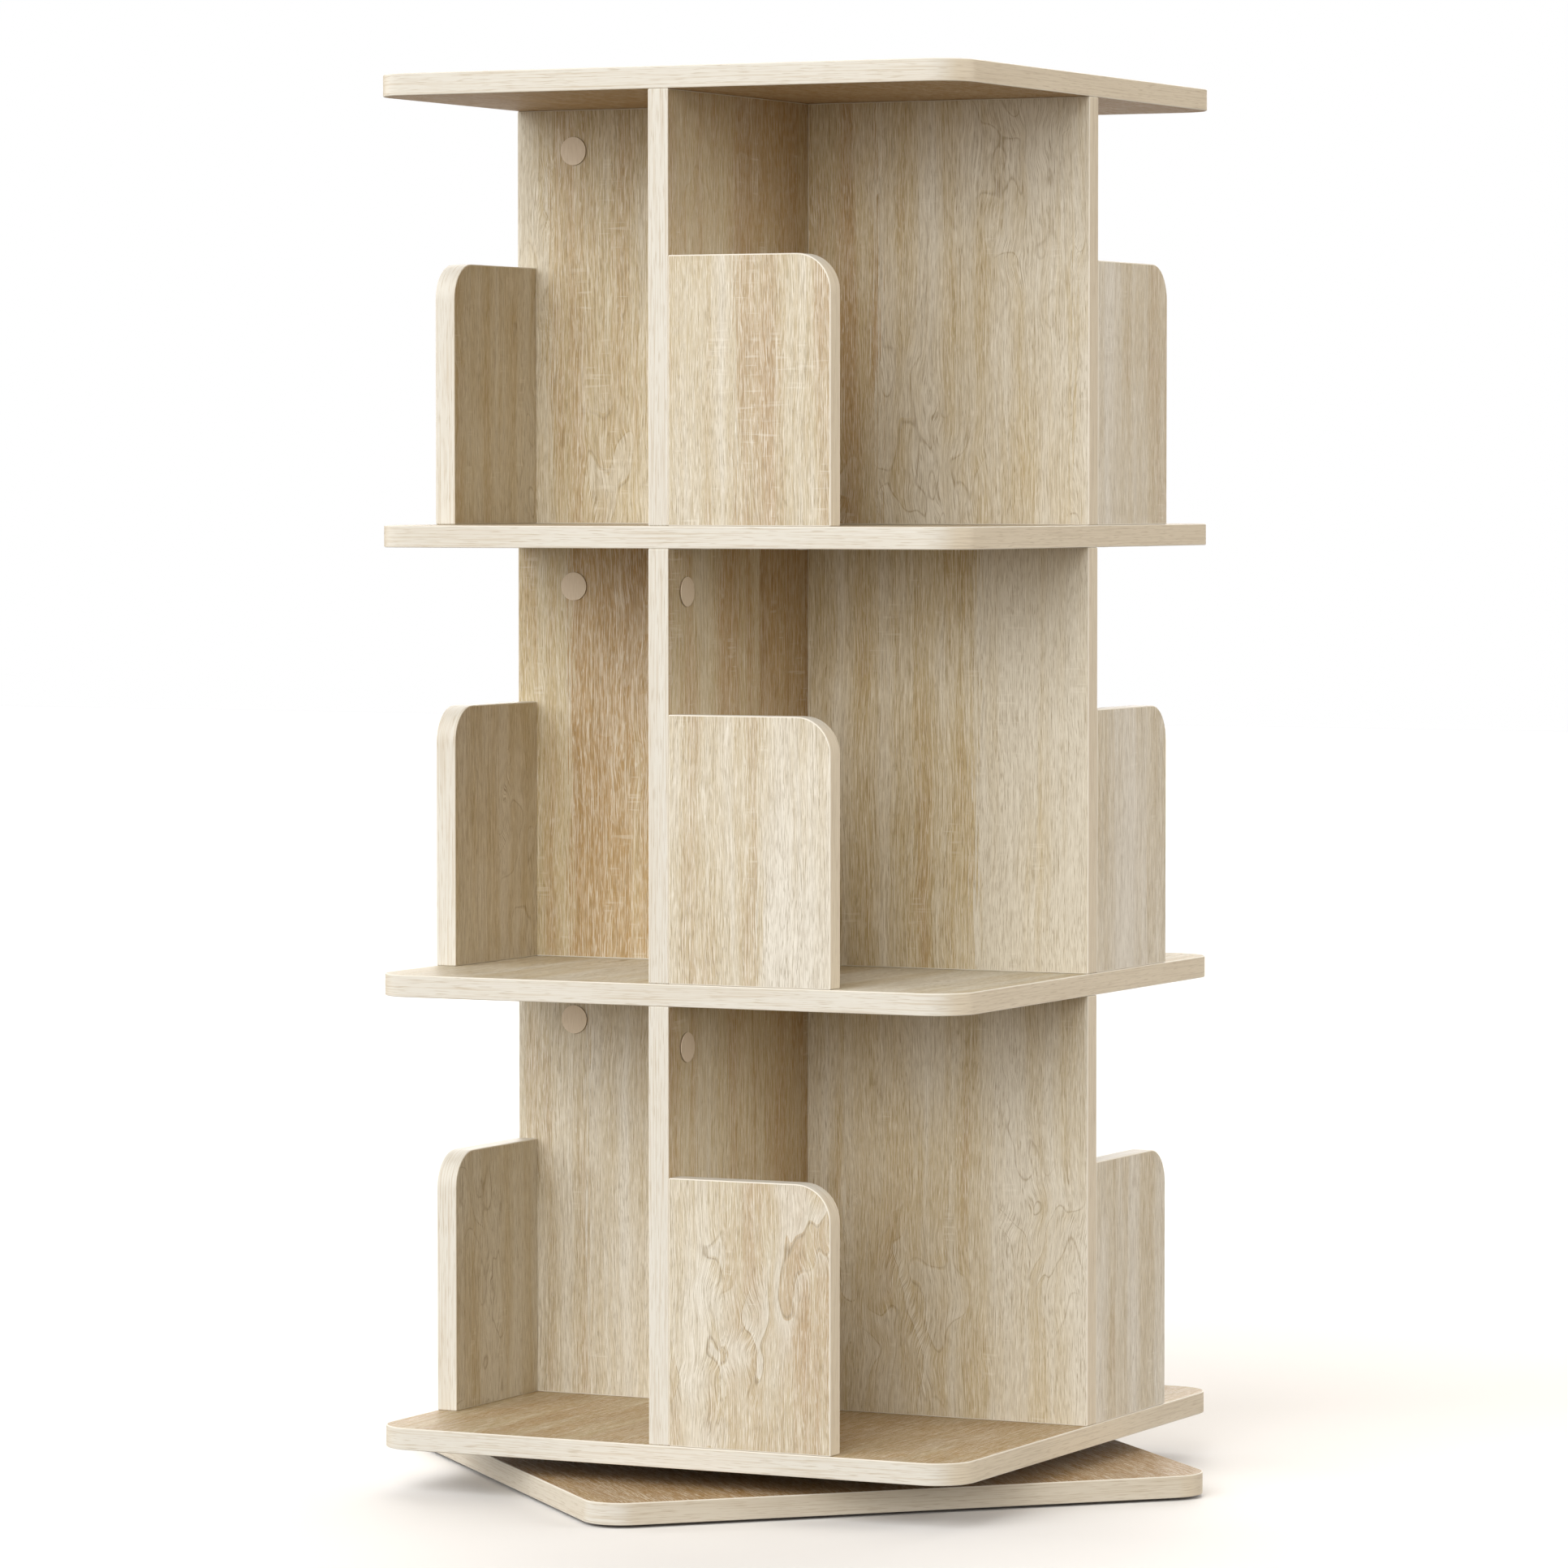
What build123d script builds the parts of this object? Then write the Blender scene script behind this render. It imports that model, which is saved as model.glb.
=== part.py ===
from build123d import *
import os

# A revolving bookcase in millimetres, +Z up: a square three-tier tower turns on a square base.
# The origin lies on the floor under the turning axis, and the front of the tower faces -Y.
# At rest the base stands turned under the tower, with its corners on the X and Y axes.

os.makedirs("parts", exist_ok=True)

# Board stock: the base, the four tower boards, the uprights and the book stops are all cut from it
BOARD_SIDE = 440.0
BOARD_THICKNESS = 15.0
BOARD_CORNER_RADIUS = 27.0
EDGE_BEVEL = 0.8
BASE_TURN = 45.0

# Clear height of each tier
LOWER_TIER_HEIGHT = 294.5
MIDDLE_TIER_HEIGHT = 290.5
UPPER_TIER_HEIGHT = 290.5

# Book stops: one low guard on each side of each tier, against an upright
STOP_LENGTH = 120.0
STOP_HEIGHT = 180.0
STOP_CORNER_RADIUS = 25.0

# Cam locks in the heads of the uprights, under round cover caps
CAM_RADIUS = 7.5
CAM_DEPTH = 12.0
CAM_DROP = 29.0
CAM_CLEARANCE = 0.1
SPINE_CAM_INSET = 27.0
WING_CAM_INSET = 45.0
DRIVE_SLOT_LENGTH = 8.0
DRIVE_SLOT_WIDTH = 1.5
DRIVE_SLOT_DEPTH = 2.5
CAP_RADIUS = 10.0
CAP_THICKNESS = 1.2

# Turntable between the base and the bottom board
TURNTABLE_HEIGHT = 13.0
PLATE_SIDE = 150.0
PLATE_CORNER_RADIUS = 12.0
PLATE_THICKNESS = 2.0
RACE_RADIUS = 50.0
RACE_WIDTH = 16.0
RACE_CLEARANCE = 0.3
RIVET_RADIUS = 6.0
RIVET_FLANGE = 5.0
RIVET_FLANGE_THICKNESS = 1.5
RIVET_CLEARANCE = 0.08
DISH_MARGIN = 3.0
DISH_DEPTH = 2.0
DISH_SLOPE = 4.0

# Foot pads under the corners of the base
PAD_SIDE = 30.0
PAD_THICKNESS = 2.0
PAD_INSET = 45.0

# Heights of the boards, from the floor up
BASE_FLOOR = PAD_THICKNESS
TURNTABLE_FLOOR = BASE_FLOOR + BOARD_THICKNESS
BOTTOM_BOARD_FLOOR = TURNTABLE_FLOOR + TURNTABLE_HEIGHT
LOWER_FLOOR = BOTTOM_BOARD_FLOOR + BOARD_THICKNESS
LOWER_SHELF_FLOOR = LOWER_FLOOR + LOWER_TIER_HEIGHT
MIDDLE_FLOOR = LOWER_SHELF_FLOOR + BOARD_THICKNESS
UPPER_SHELF_FLOOR = MIDDLE_FLOOR + MIDDLE_TIER_HEIGHT
UPPER_FLOOR = UPPER_SHELF_FLOOR + BOARD_THICKNESS
TOP_BOARD_FLOOR = UPPER_FLOOR + UPPER_TIER_HEIGHT

HALF_SIDE = BOARD_SIDE / 2
HALF_THICKNESS = BOARD_THICKNESS / 2

# Each tier: its floor, its clear height and the side of the spine that its cam locks open on
TIERS = {
    "lower": (LOWER_FLOOR, LOWER_TIER_HEIGHT, 1),
    "middle": (MIDDLE_FLOOR, MIDDLE_TIER_HEIGHT, 1),
    "upper": (UPPER_FLOOR, UPPER_TIER_HEIGHT, -1),
}

# The sides of the tower in turn, each a quarter turn on from the one before
SIDES = {"front": 0, "right": 90, "back": 180, "left": 270}


def save(piece, name):
    """Label a finished piece and write it as its own STEP file."""
    piece.part.label = name
    export_step(piece.part, f"parts/{name}.step")


def bevel_faces(piece):
    """Bevel the arrises round the two broad faces of a board."""
    chamfer(piece.faces().sort_by(SortBy.AREA)[-2:].edges(), EDGE_BEVEL)


def square_board(floor, turn=0.0):
    """A square board with rounded corners, lying on the given height."""
    with BuildPart() as board:
        with BuildSketch(Plane.XY.offset(floor)):
            RectangleRounded(BOARD_SIDE, BOARD_SIDE, BOARD_CORNER_RADIUS, rotation=turn)
        extrude(amount=BOARD_THICKNESS)
        bevel_faces(board)
    return board


def cam_seats(tier):
    """Planes on the upright faces where the cam locks of a tier open, by upright."""
    floor, height, spine_side = TIERS[tier]
    level = floor + height - CAM_DROP
    spine_y = HALF_SIDE - SPINE_CAM_INSET
    wing_x = HALF_SIDE - WING_CAM_INSET
    spine_face = spine_side * HALF_THICKNESS
    return {
        "spine": [Plane(origin=(spine_face, y, level), x_dir=(0, 1, 0), z_dir=(spine_side, 0, 0))
                  for y in (-spine_y, spine_y)],
        "right_wing": [Plane(origin=(wing_x, HALF_THICKNESS, level), x_dir=(1, 0, 0), z_dir=(0, 1, 0))],
        "left_wing": [Plane(origin=(-wing_x, -HALF_THICKNESS, level), x_dir=(1, 0, 0), z_dir=(0, -1, 0))],
    }


def upright(tier, name, start, length, depth):
    """An upright that stands between two boards, drilled for its cam locks.

    start is its corner nearest the front left, with its length along X and its depth along Y.
    """
    floor, height, _ = TIERS[tier]
    with BuildPart() as panel:
        with BuildSketch(Plane.XY.offset(floor)):
            with Locations(start):
                Rectangle(length, depth, align=Align.MIN)
        extrude(amount=height)
        chamfer(panel.edges(), EDGE_BEVEL)
        with Locations(*cam_seats(tier)[name]):
            Hole(CAM_RADIUS + CAM_CLEARANCE, depth=CAM_DEPTH)
    return panel


def book_stop(tier, turn):
    """A low guard flush with one side of the tower, with its upper outer corner rounded."""
    floor = TIERS[tier][0]
    along = Vector(1, 0, 0).rotate(Axis.Z, turn)
    outward = Vector(0, -1, 0).rotate(Axis.Z, turn)
    side = Plane((0, 0, floor), x_dir=along, z_dir=outward)
    with BuildPart() as stop:
        with BuildSketch(side.offset(HALF_SIDE - BOARD_THICKNESS)) as outline:
            with Locations((HALF_THICKNESS, 0)):
                Rectangle(STOP_LENGTH, STOP_HEIGHT, align=Align.MIN)
            outer_corners = outline.vertices().group_by(Axis.X)[-1]
            fillet(outer_corners.sort_by(Axis.Y)[-1], STOP_CORNER_RADIUS)
        extrude(amount=BOARD_THICKNESS)
        bevel_faces(stop)
    return stop


def cam_locks(tier):
    """The cam locks of a tier, flush with the faces of the uprights, each with a drive slot."""
    seats = [seat for group in cam_seats(tier).values() for seat in group]
    into_panel = (Align.CENTER, Align.CENTER, Align.MAX)
    with BuildPart() as cams:
        with Locations(*seats):
            Cylinder(CAM_RADIUS, CAM_DEPTH, align=into_panel)
            Box(DRIVE_SLOT_LENGTH, DRIVE_SLOT_WIDTH, DRIVE_SLOT_DEPTH, align=into_panel, mode=Mode.SUBTRACT)
    return cams


def cam_caps(tier):
    """The round caps that cover the cam locks of a tier."""
    seats = [seat for group in cam_seats(tier).values() for seat in group]
    with BuildPart() as caps:
        with Locations(*seats):
            Cylinder(CAP_RADIUS, CAP_THICKNESS, align=(Align.CENTER, Align.CENTER, Align.MIN))
    return caps


def turntable_plate(seat, rise, turn=0.0):
    """A square pressed plate with a dished centre that leaves room for the rivet's flange.

    seat is the height of the board face that it lies on, and rise is 1 upward or -1 downward from there.
    """
    dish_edge = RIVET_RADIUS + RIVET_FLANGE + DISH_MARGIN
    dish_foot = dish_edge + DISH_SLOPE
    rivet_hole = RIVET_RADIUS + RIVET_CLEARANCE
    under_side = [(rivet_hole, DISH_DEPTH), (dish_edge, DISH_DEPTH), (dish_foot, 0)]
    upper_side = [(radius, height + PLATE_THICKNESS) for radius, height in reversed(under_side)]
    with BuildPart() as plate:
        with BuildSketch(Plane.XY.offset(seat)):
            RectangleRounded(PLATE_SIDE, PLATE_SIDE, PLATE_CORNER_RADIUS, rotation=turn)
            Circle(dish_foot, mode=Mode.SUBTRACT)
        extrude(amount=rise * PLATE_THICKNESS)
        with BuildSketch(Plane.XZ):
            with BuildLine():
                Polyline(*[(radius, seat + rise * height) for radius, height in under_side + upper_side],
                         close=True)
            make_face()
        revolve(axis=Axis.Z)
    return plate


def pivot_rivet():
    """The rivet on the turning axis: seated under the lower plate, with the upper plate free under its head."""
    flange = RIVET_RADIUS + RIVET_FLANGE
    lower_dish = TURNTABLE_FLOOR + DISH_DEPTH
    upper_dish = BOTTOM_BOARD_FLOOR - DISH_DEPTH
    foot = lower_dish - RIVET_FLANGE_THICKNESS
    head_floor = upper_dish + RIVET_CLEARANCE
    head = head_floor + RIVET_FLANGE_THICKNESS
    with BuildPart() as rivet:
        with BuildSketch(Plane.XZ):
            with BuildLine():
                Polyline(
                    (0, foot), (flange, foot), (flange, lower_dish), (RIVET_RADIUS, lower_dish),
                    (RIVET_RADIUS, head_floor), (flange, head_floor), (flange, head), (0, head), close=True)
            make_face()
        revolve(axis=Axis.Z)
    return rivet


def ball_ring():
    """The ring that carries the turntable's balls, with a running gap to both plates."""
    floor = TURNTABLE_FLOOR + PLATE_THICKNESS + RACE_CLEARANCE
    height = TURNTABLE_HEIGHT - 2 * (PLATE_THICKNESS + RACE_CLEARANCE)
    with BuildPart() as ring:
        with BuildSketch(Plane.XY.offset(floor)):
            Circle(RACE_RADIUS + RACE_WIDTH / 2)
            Circle(RACE_RADIUS - RACE_WIDTH / 2, mode=Mode.SUBTRACT)
        extrude(amount=height)
    return ring


def foot_pads():
    """The square pads near the corners of the base."""
    spacing = BOARD_SIDE - 2 * PAD_INSET
    with BuildPart() as pads:
        with BuildSketch(Plane.XY.rotated((0, 0, BASE_TURN))):
            with GridLocations(spacing, spacing, 2, 2):
                Rectangle(PAD_SIDE, PAD_SIDE)
        extrude(amount=PAD_THICKNESS)
    return pads


# Base and turntable
save(foot_pads(), "foot_pads")
save(square_board(BASE_FLOOR, BASE_TURN), "base_board")
save(turntable_plate(TURNTABLE_FLOOR, 1, BASE_TURN), "turntable_lower_plate")
save(turntable_plate(BOTTOM_BOARD_FLOOR, -1), "turntable_upper_plate")
save(pivot_rivet(), "turntable_rivet")
save(ball_ring(), "turntable_ball_ring")

# Boards of the tower
save(square_board(BOTTOM_BOARD_FLOOR), "bottom_board")
save(square_board(LOWER_SHELF_FLOOR), "lower_shelf")
save(square_board(UPPER_SHELF_FLOOR), "upper_shelf")
save(square_board(TOP_BOARD_FLOOR), "top_board")

# Uprights, book stops and cam locks of each tier
WING_LENGTH = HALF_SIDE - HALF_THICKNESS
for tier in TIERS:
    spine = upright(tier, "spine", (-HALF_THICKNESS, -HALF_SIDE), BOARD_THICKNESS, BOARD_SIDE)
    right_wing = upright(tier, "right_wing", (HALF_THICKNESS, -HALF_THICKNESS), WING_LENGTH, BOARD_THICKNESS)
    left_wing = upright(tier, "left_wing", (-HALF_SIDE, -HALF_THICKNESS), WING_LENGTH, BOARD_THICKNESS)
    save(spine, f"{tier}_spine_panel")
    save(right_wing, f"{tier}_right_wing_panel")
    save(left_wing, f"{tier}_left_wing_panel")
    for side, turn in SIDES.items():
        save(book_stop(tier, turn), f"{tier}_{side}_stop")
    save(cam_locks(tier), f"{tier}_cam_locks")
    save(cam_caps(tier), f"{tier}_cam_caps")
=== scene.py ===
"""The look of a revolving bookcase: an oak-print tower of boards that turns on a square base."""

import logging
import math
from dataclasses import dataclass, field
from enum import Enum

import bmesh
import bpy
from mathutils import Matrix, Vector


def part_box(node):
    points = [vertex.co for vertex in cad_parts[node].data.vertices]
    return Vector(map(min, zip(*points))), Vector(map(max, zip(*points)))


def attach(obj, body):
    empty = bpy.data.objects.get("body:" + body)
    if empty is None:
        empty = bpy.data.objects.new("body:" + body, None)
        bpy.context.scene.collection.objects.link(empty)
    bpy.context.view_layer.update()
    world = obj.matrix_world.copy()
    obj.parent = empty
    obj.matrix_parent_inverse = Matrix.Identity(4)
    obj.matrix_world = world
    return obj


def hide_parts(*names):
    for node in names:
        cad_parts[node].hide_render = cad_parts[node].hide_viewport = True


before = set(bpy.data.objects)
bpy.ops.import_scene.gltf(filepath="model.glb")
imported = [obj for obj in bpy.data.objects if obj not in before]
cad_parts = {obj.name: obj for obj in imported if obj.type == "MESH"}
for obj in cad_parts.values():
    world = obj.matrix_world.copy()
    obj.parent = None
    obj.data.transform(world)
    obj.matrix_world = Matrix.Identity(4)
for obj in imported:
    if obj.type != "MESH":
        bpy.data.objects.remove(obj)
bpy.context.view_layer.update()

LOG = logging.getLogger("bookcase")
GRAIN_MAP = "grain"
SURFACE_NODE = "surface"
VECTOR = "NodeSocketVector"
VALUE = "NodeSocketFloat"
COLOR = "NodeSocketColor"
SURFACE_OUTPUTS = {"Color": COLOR, "Roughness": VALUE, "Height": VALUE}
CUT_INPUTS = ("Figure", "Sawn", "Lime", "Warmth")
MIX_FACTOR = 0
MIX_FIRST = 6
MIX_SECOND = 7
MIX_RESULT = 2
WELD_DISTANCE = 1e-7
UP = Vector((0, 0, 1))
UPSIDE_DOWN = Matrix.Rotation(math.pi, 4, "X")
Point = tuple[float, float]
Color = tuple[float, float, float, float]
Socket = bpy.types.NodeSocket
Feed = Socket | float | Color


class Tier(Enum):
    """The three tiers of the tower, from the base up."""

    LOWER = "lower"
    MIDDLE = "middle"
    UPPER = "upper"


class Side(Enum):
    """The four sides of the tower, each with its turn from the front in degrees."""

    FRONT = 0
    RIGHT = 90
    BACK = 180
    LEFT = 270


class Body(Enum):
    """The rigid bodies that pieces ride on."""

    BASE = "base"
    TOWER = "tower"
    BALL_RING = "ball_ring"


class Slot(Enum):
    """The record's material slots."""

    OAK = "oak_laminate"
    CAP = "cap_foil"
    ZINC = "zinc_alloy"
    PLATE = "pressed_steel"
    RIVET = "rivet_steel"
    NYLON = "nylon"
    FELT = "felt"


@dataclass(frozen=True)
class Layer:
    """One layer of a print's noise: steps along and across the grain in metres, depth and fineness."""

    along: float
    across: float
    depth: float
    detail: float = 2.0
    roughness: float = 0.5
    distortion: float = 0.0


@dataclass(frozen=True)
class Stain:
    """How a mask colours a print: where the colour sets in, where it is full, and its strength there."""

    start: float
    full: float
    strength: float = 1.0


class Graph:
    """A small helper that adds and links nodes in one node tree."""

    def __init__(self, tree: bpy.types.NodeTree) -> None:
        """Keep the tree that nodes are added to."""
        self.tree = tree

    def add(self, kind: str, **settings: object) -> bpy.types.Node:
        """Add a node and set its properties.

        Args:
            kind: Blender's type name of the node.
            settings: properties to set on it.

        Returns:
            The new node.
        """
        node = self.tree.nodes.new(kind)
        for name, value in settings.items():
            setattr(node, name, value)
        return node

    def feed(self, socket: Socket, value: Feed) -> None:
        """Link an output socket to an input socket, or set the input to a constant.

        Args:
            socket: the input.
            value: an output socket, a number or a colour.
        """
        if isinstance(value, Socket):
            self.tree.links.new(value, socket)
        else:
            socket.default_value = value

    def split(self, value: Socket, kind: str = "ShaderNodeSeparateXYZ") -> tuple[Socket, Socket]:
        """Take the first two numbers of a vector or a colour.

        Args:
            value: the vector or colour.
            kind: Blender's type name of the node that splits it.

        Returns:
            The two numbers' sockets.
        """
        node = self.add(kind)
        self.feed(node.inputs[0], value)
        return node.outputs[0], node.outputs[1]

    def math(self, operation: str, first: Feed, second: Feed = 0.0) -> Socket:
        """Work out one number from two.

        Args:
            operation: Blender's name of the operation.
            first: a socket or a number.
            second: a socket or a number.

        Returns:
            The result's socket.
        """
        node = self.add("ShaderNodeMath", operation=operation)
        self.feed(node.inputs[0], first)
        self.feed(node.inputs[1], second)
        return node.outputs[0]

    def total(self, first: Feed, *others: Feed) -> Socket:
        """Add up numbers.

        Args:
            first: the first of them.
            others: the rest.

        Returns:
            The sum's socket.
        """
        for other in others:
            first = self.math("ADD", first, other)
        return first

    def swing(self, value: Feed, reach: Feed) -> Socket:
        """Turn a value of 0 to 1 into a swing of half a reach to either side of 0."""
        return self.math("MULTIPLY", self.math("SUBTRACT", value, 0.5), reach)

    def ramp(self, value: Feed, source: Point, result: Point, easing: str) -> Socket:
        """Carry a value from one range of numbers over to another.

        Args:
            value: a socket.
            source: the range that the value comes from.
            result: the range that it goes to.
            easing: Blender's name of the way between the ends.

        Returns:
            The carried value's socket.
        """
        node = self.add("ShaderNodeMapRange", interpolation_type=easing)
        self.feed(node.inputs["Value"], value)
        names = ("From Min", "From Max", "To Min", "To Max")
        for name, number in zip(names, source + result):
            node.inputs[name].default_value = number
        return node.outputs["Result"]

    def step(self, value: Feed, low: float, high: float) -> Socket:
        """Ease a value from 0 at low to 1 at high."""
        return self.ramp(value, (low, high), (0.0, 1.0), "SMOOTHSTEP")

    def spread(self, value: Feed, low: float, high: float) -> Socket:
        """Spread a value of 0 to 1 evenly from low to high."""
        return self.ramp(value, (0.0, 1.0), (low, high), "LINEAR")

    def noise(self, point: Socket, detail: float, roughness: float, distortion: float = 0.0) -> Socket:
        """Read noise at a point whose coordinates are already scaled.

        Args:
            point: the point's socket.
            detail: octaves of finer noise.
            roughness: strength of the finer octaves.
            distortion: how far the noise bends itself.

        Returns:
            The noise value's socket, about 0.5 on average.
        """
        node = self.add("ShaderNodeTexNoise")
        self.feed(node.inputs["Vector"], point)
        node.inputs["Scale"].default_value = 1.0
        node.inputs["Detail"].default_value = detail
        node.inputs["Roughness"].default_value = roughness
        node.inputs["Distortion"].default_value = distortion
        return node.outputs["Fac"]

    def layer(self, layer: Layer, along: Feed, across: Feed, depth: Feed = 0.0) -> Socket:
        """Read one layer of a print's noise.

        Args:
            layer: the layer.
            along: the place along the grain.
            across: the place across the grain.
            depth: a shift of the layer's depth.

        Returns:
            The noise value's socket, about 0.5 on average.
        """
        point = self.add("ShaderNodeCombineXYZ")
        self.feed(point.inputs[0], self.math("DIVIDE", along, layer.along))
        self.feed(point.inputs[1], self.math("DIVIDE", across, layer.across))
        self.feed(point.inputs[2], self.math("ADD", depth, layer.depth))
        return self.noise(point.outputs[0], layer.detail, layer.roughness, layer.distortion)

    def mix(self, factor: Feed, first: Feed, second: Feed) -> Socket:
        """Blend two colours.

        Args:
            factor: the share of the second colour, a socket or a number.
            first: a socket or a colour.
            second: a socket or a colour.

        Returns:
            The blended colour's socket.
        """
        node = self.add("ShaderNodeMix", data_type="RGBA", clamp_factor=True)
        self.feed(node.inputs[MIX_FACTOR], factor)
        self.feed(node.inputs[MIX_FIRST], first)
        self.feed(node.inputs[MIX_SECOND], second)
        return node.outputs[MIX_RESULT]

    def stain(self, color: Feed, mask: Feed, stain: Stain, tint: Color, area: Feed = 1.0) -> Socket:
        """Colour a print where a mask sets in.

        Args:
            color: the print so far.
            mask: the mask's socket.
            stain: how the mask colours the print.
            tint: the colour that it brings.
            area: the part of the print that is coloured, from 0 to 1.

        Returns:
            The stained colour's socket.
        """
        shown = self.math("MULTIPLY", self.step(mask, stain.start, stain.full), area)
        return self.mix(self.math("MULTIPLY", shown, stain.strength), color, tint)

    def relief(self, shader: bpy.types.Node, height: Socket, distance: float, strength: float = 1.0) -> None:
        """Raise a surface in relief.

        Args:
            shader: the surface's shader.
            height: the height's socket.
            distance: the relief's depth in metres.
            strength: how much of it shows.
        """
        bump = self.add("ShaderNodeBump")
        bump.inputs["Strength"].default_value = strength
        bump.inputs["Distance"].default_value = distance
        self.feed(bump.inputs["Height"], height)
        self.feed(shader.inputs["Normal"], bump.outputs["Normal"])


class Group(Graph):
    """A shader node group with named sockets."""

    def __init__(self, name: str, inputs: dict[str, str], outputs: dict[str, str]) -> None:
        """Start the group.

        Args:
            name: the group's name.
            inputs: socket type by input name.
            outputs: socket type by output name.
        """
        super().__init__(bpy.data.node_groups.new(name, "ShaderNodeTree"))
        for way, sockets in (("INPUT", inputs), ("OUTPUT", outputs)):
            for socket, kind in sockets.items():
                self.tree.interface.new_socket(socket, in_out=way, socket_type=kind)
        self.given = self.add("NodeGroupInput").outputs
        self.wanted = self.add("NodeGroupOutput").inputs

    def close(self, **values: Feed) -> bpy.types.NodeTree:
        """Feed the group's outputs.

        Args:
            values: what each output gives, by its name.

        Returns:
            The finished group.
        """
        for name, value in values.items():
            self.feed(self.wanted[name], value)
        return self.tree


def start_material(name: str) -> tuple[bpy.types.Material, Graph, bpy.types.Node]:
    """Start a material.

    Args:
        name: the material's name.

    Returns:
        The material, a graph on its nodes, and its shader.
    """
    material = bpy.data.materials.new(name)
    material.use_nodes = True
    return material, Graph(material.node_tree), material.node_tree.nodes["Principled BSDF"]


@dataclass(frozen=True)
class OakPrint:
    """The limed oak print of the board faces. Lengths are in metres on the board.

    The print runs in planks along the grain, each with its own tone, bands, fibres, pores and saw marks.
    Where a panel is figured, the fibres bend round swirls and leave contour lines.
    """

    umber: Color = (0.292, 0.184, 0.090, 1.0)
    honey: Color = (0.414, 0.291, 0.158, 1.0)
    tan: Color = (0.522, 0.442, 0.292, 1.0)
    limed: Color = (0.652, 0.616, 0.532, 1.0)
    pore_dark: Color = (0.262, 0.198, 0.112, 1.0)
    pore_light: Color = (0.780, 0.746, 0.662, 1.0)
    to_honey: Stain = Stain(-0.05, 0.30)
    to_tan: Stain = Stain(0.26, 0.54)
    to_limed: Stain = Stain(0.46, 0.76)
    plank_width: float = 0.105
    plank_shift: float = 3.0
    plank_depth: float = 5.0
    plank_lime: Point = (-0.10, 0.10)
    joint: Layer = Layer(0.07, 0.0013, 0.0, 1.0)
    joint_spread: float = 0.034
    place: Layer = Layer(0.17, 0.075, 11.0, 1.0)
    place_shift: Point = (-0.005, 0.025)
    place_range: Point = (0.50, 0.64)
    swirl: Layer = Layer(0.075, 0.034, 3.0, 1.5, 0.45, 0.3)
    swirl_reach: Point = (0.003, 0.032)
    sway: Layer = Layer(0.13, 0.060, 0.0)
    sway_reach: float = 0.010
    wobble: Layer = Layer(0.028, 0.010, 6.0, 1.0)
    wobble_reach: float = 0.0011
    bands: Layer = Layer(0.55, 0.021, 1.0, 3.0, 0.6)
    band_lime: Point = (0.14, 0.86)
    streaks: Layer = Layer(0.26, 0.0046, 13.0, 1.5)
    streak_lime: Point = (0.20, 0.08)
    clouds: Layer = Layer(0.10, 0.045, 10.0)
    cloud_lime: float = 0.27
    ring_count: float = 5.0
    ring_fill: Stain = Stain(0.15, 0.95, 0.72)
    ring_edge: float = 0.05
    ring_line: Stain = Stain(0.04, 0.0, 0.75)
    fibre: Layer = Layer(0.048, 0.00052, 2.0, 2.5, 0.65)
    fibre_light: Stain = Stain(0.52, 0.65, 0.62)
    fibre_dark: Stain = Stain(0.46, 0.32, 0.52)
    fibre_height: float = 0.7
    hair: Layer = Layer(0.01056, 0.000364, 12.0, 1.0)
    hair_light: Stain = Stain(0.54, 0.63, 0.40)
    hair_dark: Stain = Stain(0.45, 0.36, 0.42)
    crowd: Layer = Layer(0.09, 0.012, 4.0)
    crowd_range: Point = (0.36, 0.62)
    pores: Layer = Layer(0.0075, 0.00085, 5.0, 1.0)
    open_pore: Stain = Stain(0.58, 0.72, 0.45)
    filled_pore: Stain = Stain(0.42, 0.28, 0.45)
    filled_share: Point = (1.0, 0.45)
    strip: Layer = Layer(0.065, 0.024, 7.0, 1.0)
    strip_shift: Point = (-0.06, 0.03)
    strip_range: Point = (0.58, 0.68)
    saw_marks: Layer = Layer(0.0026, 0.036, 8.0, 1.6, 0.6)
    saw_stain: Stain = Stain(0.56, 0.68, 0.26)
    roughness: Point = (0.46, 0.66)

    def group(self) -> bpy.types.NodeTree:
        """Build the print as a node group from a point on the board, with the grain along X.

        Returns:
            The group, which gives colour, roughness and height.
        """
        group = Group("oak_print", {"Vector": VECTOR, **dict.fromkeys(CUT_INPUTS, VALUE)}, SURFACE_OUTPUTS)
        given = group.given
        along, across = group.split(given["Vector"])
        ragged = group.swing(group.layer(self.joint, along, across), self.joint_spread)
        plank = group.add("ShaderNodeTexVoronoi", voronoi_dimensions="1D", feature="F1")
        jointed = group.math("ADD", across, ragged)
        group.feed(plank.inputs["W"], group.math("DIVIDE", jointed, self.plank_width))
        plank.inputs["Scale"].default_value = 1.0
        tone, shift = group.split(plank.outputs["Color"], "ShaderNodeSeparateColor")
        along = group.math("ADD", along, group.math("MULTIPLY", shift, self.plank_shift))
        depth = group.math("MULTIPLY", tone, self.plank_depth)

        def read(layer: Layer, run: Socket) -> Socket:
            """Read a layer of the plank's own noise."""
            return group.layer(layer, along, run, depth)

        swirl = read(self.swirl, across)
        place = group.total(read(self.place, across), group.spread(given["Figure"], *self.place_shift))
        figure = group.math("MULTIPLY", group.step(place, *self.place_range), given["Figure"])
        bend = group.total(group.swing(swirl, group.spread(figure, *self.swirl_reach)),
                           group.swing(read(self.sway, across), self.sway_reach),
                           group.swing(read(self.wobble, across), self.wobble_reach))
        grain = group.math("ADD", across, bend)

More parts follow.
